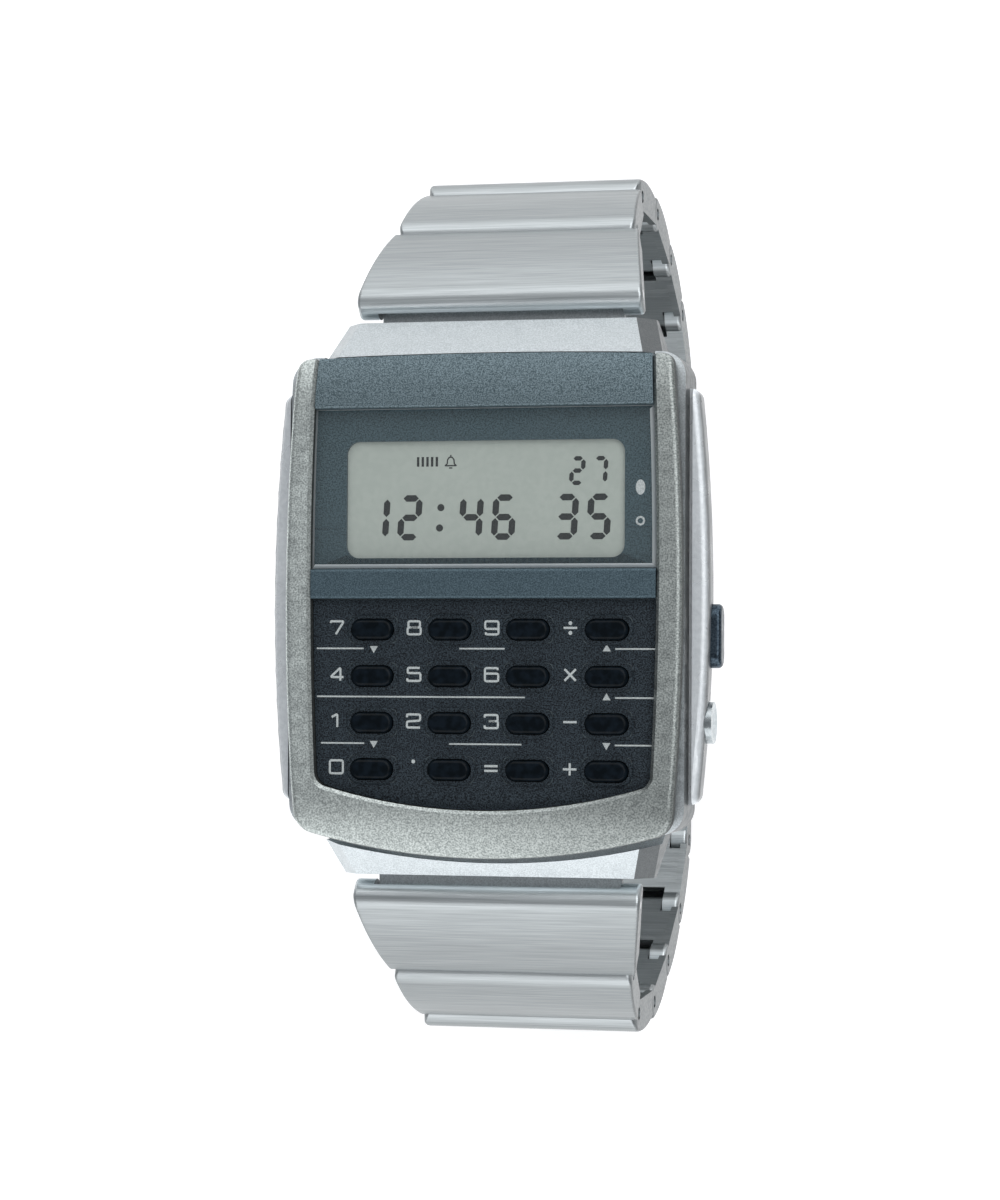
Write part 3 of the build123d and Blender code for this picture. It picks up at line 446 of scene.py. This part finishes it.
def keyLegend(node):
    # the key's sign stands to its left
    at = centre(node)
    left = at.x - legend["beside"] - legend["wide"] / 2
    foot = at.y + legend["lift"] - legend["tall"] / 2
    sign = node.removeprefix("key_")
    strokes = [(drawnAt(points, left, foot, legend["wide"], legend["tall"]), closed,
                legend["tall"] * ink["cornerShare"]) for points, closed in signs.get(sign, [])]
    if strokes:
        inkPrint("legend_" + sign, strokes, ink["width"], plateZ)


def legendDots():
    bm = bmesh.new()
    flat = 2 * ink["height"] / legend["dot"]
    for node in keyNodes:
        at = centre(node)
        for lift in legend["dotLifts"].get(node.removeprefix("key_"), []):
            bmesh.ops.create_uvsphere(
                bm, u_segments=20, v_segments=8, radius=legend["dot"] / 2,
                matrix=placed(at.x - legend["beside"], at.y + lift, plateZ, (1, 1, flat)))
    keep("legend_dots", bm)


rims = {"halfLength": 1.90 * mm, "halfWidth": 1.02 * mm, "corner": 1.0 * mm, "width": 0.10 * mm}


def keyRims():
    # a fine raised rim round each key's opening, in a lighter colour that is a painted highlight on its edge
    corners = [(-1, -1), (1, -1), (1, 1), (-1, 1)]
    strokes = []
    for node in keyNodes:
        at = centre(node)
        outline = drawnAt(corners, at.x, at.y, rims["halfLength"], rims["halfWidth"])
        strokes.append((outline, True, rims["corner"]))
    inkPrint("key_rims", strokes, rims["width"], plateZ, "rim")


# each rule's y, and the x of its two ends, in mm
rules = {
    "width": 0.13 * mm,
    "spans": [
        (-4.05, -13.15, -9.4), (-4.05, -1.85, 1.7), (-4.05, 10.25, 13.4),
        (-7.75, -13.1, 3.3), (-7.75, 10.25, 13.4),
        (-11.33, -12.75, -9.3), (-11.33, -2.6, 3.05), (-11.33, 10.25, 13.25),
    ],
}


def keypadRules():
    strokes = [([(start * mm, y * mm), (stop * mm, y * mm)], False, 0) for y, start, stop in rules["spans"]]
    inkPrint("keypad_rules", strokes, rules["width"], plateZ)


# each pointer's x and y, in mm, and the way that it points
pointers = {
    "size": 0.64 * mm, "footShare": 0.58, "topShare": 0.56,
    "at": [(-8.6, -4.05, "down"), (9.6, -4.05, "up"), (9.6, -7.75, "up"), (-8.55, -11.33, "down"),
           (9.6, -11.33, "down")],
}


def keypadPointers():
    bm = bmesh.new()
    for x, y, way in pointers["at"]:
        turn = Matrix.Rotation(0 if way == "up" else pi, 4, "Z")
        bmesh.ops.create_cone(
            bm, cap_ends=True, segments=3, radius1=pointers["size"] * pointers["footShare"],
            radius2=pointers["size"] * pointers["topShare"], depth=2 * ink["height"],
            matrix=placed(x * mm, y * mm, plateZ) @ turn)
    keep("keypad_pointers", bm)


for node in keyNodes:
    keyLegend(node)
legendDots()
keyRims()
keypadRules()
keypadPointers()
print("keypad print done")

marks = {"x": 12.1 * mm, "ovalY": 8.2 * mm, "oval": (0.72 * mm, 1.15 * mm, 0.024 * mm), "ringY": 5.65 * mm,
         "ringRadius": 0.3 * mm, "ringWidth": 0.16 * mm, "ringCorner": 0.1 * mm, "ringStep": 45}


def displayMarks():
    # beside the display, a filled oval and a ring, as on the pushers they stand for
    bm = bmesh.new()
    bmesh.ops.create_uvsphere(
        bm, u_segments=32, v_segments=12, radius=0.5,
        matrix=placed(marks["x"], marks["ovalY"], maskZ, marks["oval"]))
    keep("mode_mark", bm)
    circle = [(cos(radians(turn)), sin(radians(turn))) for turn in range(0, 360, marks["ringStep"])]
    ring = drawnAt(circle, marks["x"], marks["ringY"], marks["ringRadius"], marks["ringRadius"])
    inkPrint("adjust_mark", [(ring, True, marks["ringCorner"])], marks["ringWidth"], maskZ)


displayMarks()
print("display marks done")


# the display's segments

display = {
    "slant": 3.5, "gap": 0.07 * mm, "thick": 0.02 * mm,
    "time": {"tall": 3.48 * mm, "wide": 1.85 * mm, "stroke": 0.50 * mm, "y": 4.28 * mm,
             "digits": [("1", -8.6), ("2", -6.05), ("4", -1.22), ("6", 1.35), ("3", 6.2), ("5", 8.75)]},
    "date": {"tall": 2.2 * mm, "wide": 1.2 * mm, "stroke": 0.34 * mm, "y": 8.42 * mm,
             "digits": [("2", 7.1), ("7", 8.85)]},
    "colon": {"x": -3.65 * mm, "radius": 0.28 * mm, "heights": (0.27, 0.72)},
    "alarm": {"bars": 5, "x": -5.32 * mm, "y": 10.32 * mm, "pitch": 0.37 * mm,
              "size": (0.19 * mm, 0.74 * mm, 1)},
}
# the bars of each digit, so that any can be shown: a is the top, then clockwise to f, and g is the middle
lit = {
    "0": "abcdef", "1": "bc", "2": "abged", "3": "abgcd", "4": "fgbc",
    "5": "afgcd", "6": "afgecd", "7": "abc", "8": "abcdefg", "9": "abcdfg",
}
lean = tan(radians(display["slant"]))
segmentZ = lcdZ + display["thick"] / 2


def segmentDigit(bm, figure, x, row):
    # flat bars with pointed ends and a gap between them
    half = row["stroke"] / 2
    left, right = half, row["wide"] - half
    low, middle, high = half, row["tall"] / 2, row["tall"] - half
    ends = {
        "a": ((left, high), (right, high)), "b": ((right, middle), (right, high)),
        "c": ((right, low), (right, middle)), "d": ((left, low), (right, low)),
        "e": ((left, low), (left, middle)), "f": ((left, middle), (left, high)),
        "g": ((left, middle), (right, middle)),
    }
    for bar in lit[figure]:
        start, stop = Vector(ends[bar][0]), Vector(ends[bar][1])
        along = (stop - start).normalized()
        side = Vector((-along.y, along.x)) * half
        start, stop = start + along * display["gap"], stop - along * display["gap"]
        outline = [start, start + along * half - side, stop - along * half - side, stop,
                   stop - along * half + side, start + along * half + side]
        bm.faces.new([bm.verts.new((x + at.x + at.y * lean, row["y"] + at.y, segmentZ)) for at in outline])


def segmentRow(bm, row):
    for figure, x in row["digits"]:
        segmentDigit(bm, figure, x * mm - row["wide"] / 2, row)


def displayColon(bm):
    colon, row = display["colon"], display["time"]
    for share in colon["heights"]:
        up = share * row["tall"]
        bmesh.ops.create_circle(
            bm, cap_ends=True, segments=24, radius=colon["radius"],
            matrix=placed(colon["x"] + lean * up, row["y"] + up, segmentZ))


def alarmBars(bm):
    # a row of small bars beside the bell
    alarm = display["alarm"]
    for step in range(alarm["bars"]):
        bmesh.ops.create_grid(
            bm, x_segments=1, y_segments=1, size=0.5,
            matrix=placed(alarm["x"] + step * alarm["pitch"], alarm["y"], segmentZ, alarm["size"]))


def displaySegments():
    bm = bmesh.new()
    segmentRow(bm, display["time"])
    segmentRow(bm, display["date"])
    displayColon(bm)
    alarmBars(bm)
    bmesh.ops.solidify(bm, geom=bm.faces[:], thickness=display["thick"] / 2)
    bmesh.ops.recalc_face_normals(bm, faces=bm.faces[:])
    keep("display_segments", bm, "segment")


# the bell's outline, its top and its clapper
bell = {
    "x": -2.74 * mm, "y": 10.28 * mm, "wide": 0.44 * mm, "tall": 0.5 * mm,
    "stroke": 0.11 * mm, "corner": 0.06 * mm,
    "lines": [
        ([(-1, -0.55), (-0.62, -0.25), (-0.58, 0.35), (-0.25, 0.75),
          (0.25, 0.75), (0.58, 0.35), (0.62, -0.25), (1, -0.55)], True),
        ([(0, 0.75), (0, 1.1)], False),
        ([(-0.3, -0.9), (0.3, -0.9)], False),
    ],
}


def displayBell():
    strokes = [(drawnAt(points, bell["x"], bell["y"], bell["wide"], bell["tall"]), closed, bell["corner"])
               for points, closed in bell["lines"]]
    inkPrint("display_bell", strokes, bell["stroke"], lcdZ, "segment")


displaySegments()
displayBell()
print("display done")


# camera, as fitted to the photograph: its focal length is in pixels of a frame 1200 high

view = {"yaw": 12.499, "drop": 1.880, "roll": 0.335, "distance": 230 * mm, "aim": (1.527 * mm, -0.370 * mm),
        "focal": 3031.2, "frameHeight": 1200, "filmHeight": 24, "clipStart": 0.01}


def fittedCamera():
    yaw, drop, roll = radians(view["yaw"]), radians(view["drop"]), radians(view["roll"])
    away = Vector((sin(yaw) * cos(drop), -sin(drop), cos(yaw) * cos(drop)))
    level = (-away).cross(Vector((0, 1, 0))).normalized()
    upright = level.cross(-away)
    right = cos(roll) * level + sin(roll) * upright
    up = cos(roll) * upright - sin(roll) * level
    spot = away * view["distance"] + Vector((*view["aim"], frontZ))
    data = bpy.data.cameras.new("camera")
    data.sensor_fit = "VERTICAL"
    data.sensor_height = view["filmHeight"]
    data.lens = view["focal"] / view["frameHeight"] * view["filmHeight"]
    data.clip_start = view["clipStart"]
    camera = bpy.data.objects.new("camera", data)
    bpy.context.scene.collection.objects.link(camera)
    camera.matrix_world = Matrix.Translation(spot) @ Matrix((right, up, away)).transposed().to_4x4()
    bpy.context.scene.camera = camera


# floor and light

floor = {"size": 1.6, "colour": (0.93, 0.93, 0.93), "roughness": 0.8, "glow": 0.45}
sky = {"colour": (0.93, 0.96, 1.0), "strength": 0.26}
softboxes = {
    "overhead": {"at": (0.24, 0.14, 0.50), "size": (0.45, 0.45), "power": 0.9},
    "fromLow": {"at": (0.0, -0.45, 0.28), "size": (0.8, 0.62), "power": 1.9},
    "fromHigh": {"at": (0.0, 0.45, 0.28), "size": (0.8, 0.62), "power": 1.9},
}
lightAim = Vector((0, 0, 0.03))  # inside the bracelet, below the head


def paleFloor():
    bm = bmesh.new()
    bmesh.ops.create_grid(bm, x_segments=1, y_segments=1, size=floor["size"] / 2)
    data = bpy.data.meshes.new("floor")
    bm.to_mesh(data)
    bm.free()
    ground = bpy.data.objects.new("floor", data)
    bpy.context.scene.collection.objects.link(ground)
    pale = newMaterial("paleFloor", floor["colour"], floor["roughness"])
    shaderOf(pale).inputs["Emission Color"].default_value = (1, 1, 1, 1)
    shaderOf(pale).inputs["Emission Strength"].default_value = floor["glow"]
    data.materials.append(pale)


def studioSky():
    world = bpy.data.worlds.new("studio")
    bpy.context.scene.world = world
    world.use_nodes = True
    background = world.node_tree.nodes["Background"]
    background.inputs["Color"].default_value = (*sky["colour"], 1)
    background.inputs["Strength"].default_value = sky["strength"]


def softbox(name, box):
    light = bpy.data.lights.new(name, "AREA")
    light.shape = "RECTANGLE"
    light.size, light.size_y = box["size"]
    light.energy = box["power"]
    lamp = bpy.data.objects.new(name, light)
    bpy.context.scene.collection.objects.link(lamp)
    lamp.location = box["at"]
    lamp.rotation_euler = (lightAim - lamp.location).to_track_quat("-Z", "Y").to_euler()


fittedCamera()
paleFloor()
studioSky()
for name, box in softboxes.items():
    softbox(name, box)
bpy.context.scene.view_settings.view_transform = "Standard"
print("camera and light done")
